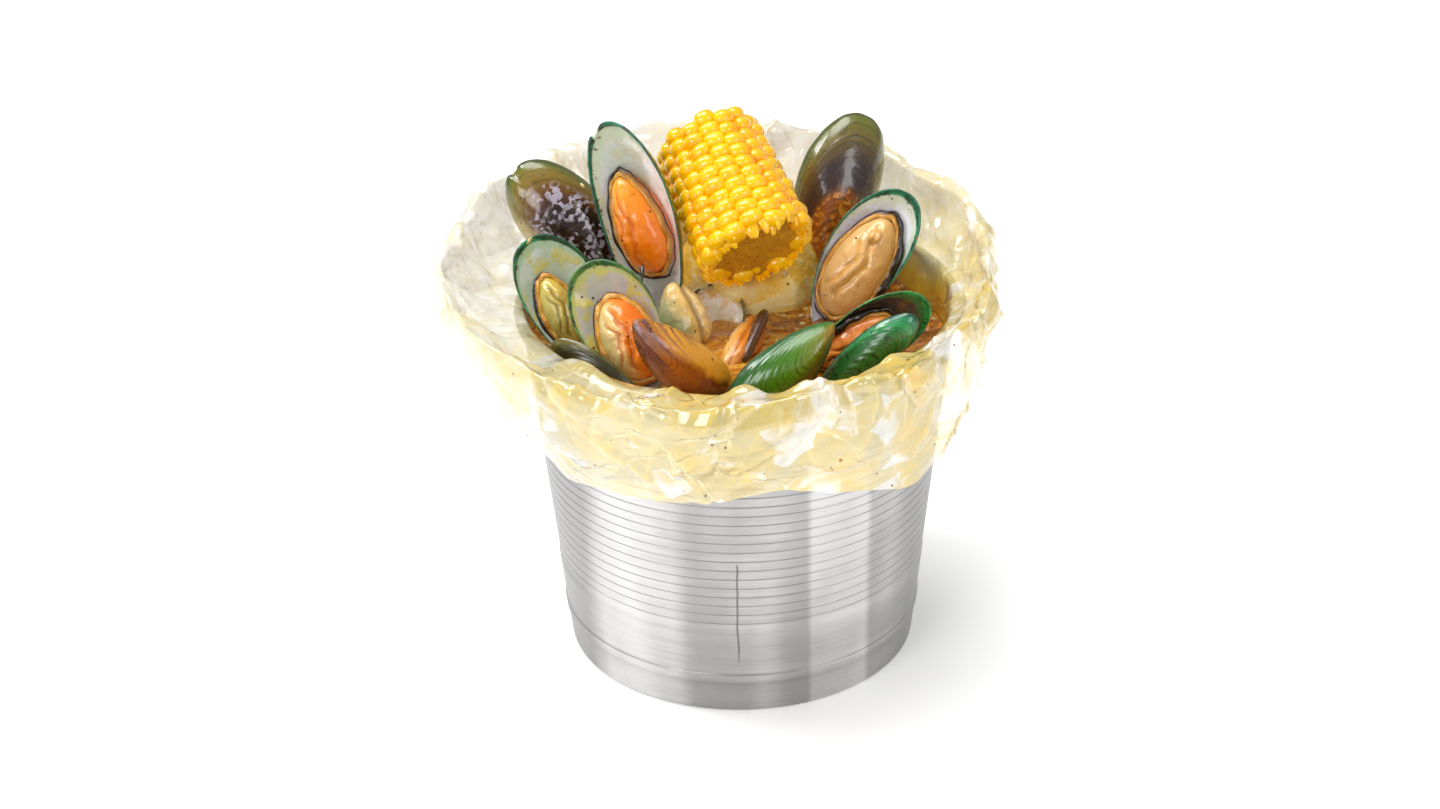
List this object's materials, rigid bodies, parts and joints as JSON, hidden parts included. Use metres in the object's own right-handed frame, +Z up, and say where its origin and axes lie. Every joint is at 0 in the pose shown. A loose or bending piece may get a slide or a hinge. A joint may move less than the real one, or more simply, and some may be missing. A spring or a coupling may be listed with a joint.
{
  "type": "pail of steamed mussels",
  "caption": "Round metal pail lined with a clear film bag folded over its rim, filled with steamed green-lipped mussels, a piece of corn and a potato in brown sauce.",
  "frame": {"origin": "middle of the pail's base, on the surface it stands on", "axes": "+Z up, +X to the right and -Y to the front as the picture shows it"},
  "size_m": [0.2571, 0.2586, 0.2482],
  "materials": {
    "metal": "brushed and turned",
    "film": "clear crumpled film",
    "sauce": "wet and glossy",
    "corn_kernels": "wet and glossy",
    "potato_flesh": "soft and wet",
    "nacre": "pearly",
    "dark_shell": "wet and glossy",
    "green_shell": "wet and glossy",
    "amber_shell": "wet and glossy",
    "orange_meat": "wet and glossy",
    "cream_meat": "wet and glossy"
  },
  "bodies": {
    "root": {"pan": "metal", "bag_liner": "film", "bag_flare": "film", "bag_skirt": "film", "sauce": "sauce", "corn": "corn_kernels", "potato": "potato_flesh", "a_valve": "nacre", "a_meat": "orange_meat", "b_mussel": "dark_shell", "c_valve": "nacre", "c_meat": "cream_meat", "d_valve_back": "nacre", "d_valve_front": "dark_shell", "d_meat": "orange_meat", "e_mussel": "amber_shell", "f_valve": "nacre", "f_meat": "cream_meat", "g_meat": "orange_meat", "h_mussel": "green_shell", "i_valve_back": "dark_shell", "i_valve_front": "green_shell", "i_meat": "orange_meat", "j_valve": "nacre", "j_meat": "cream_meat", "k_mussel": "dark_shell"}
  },
  "joints": []
}
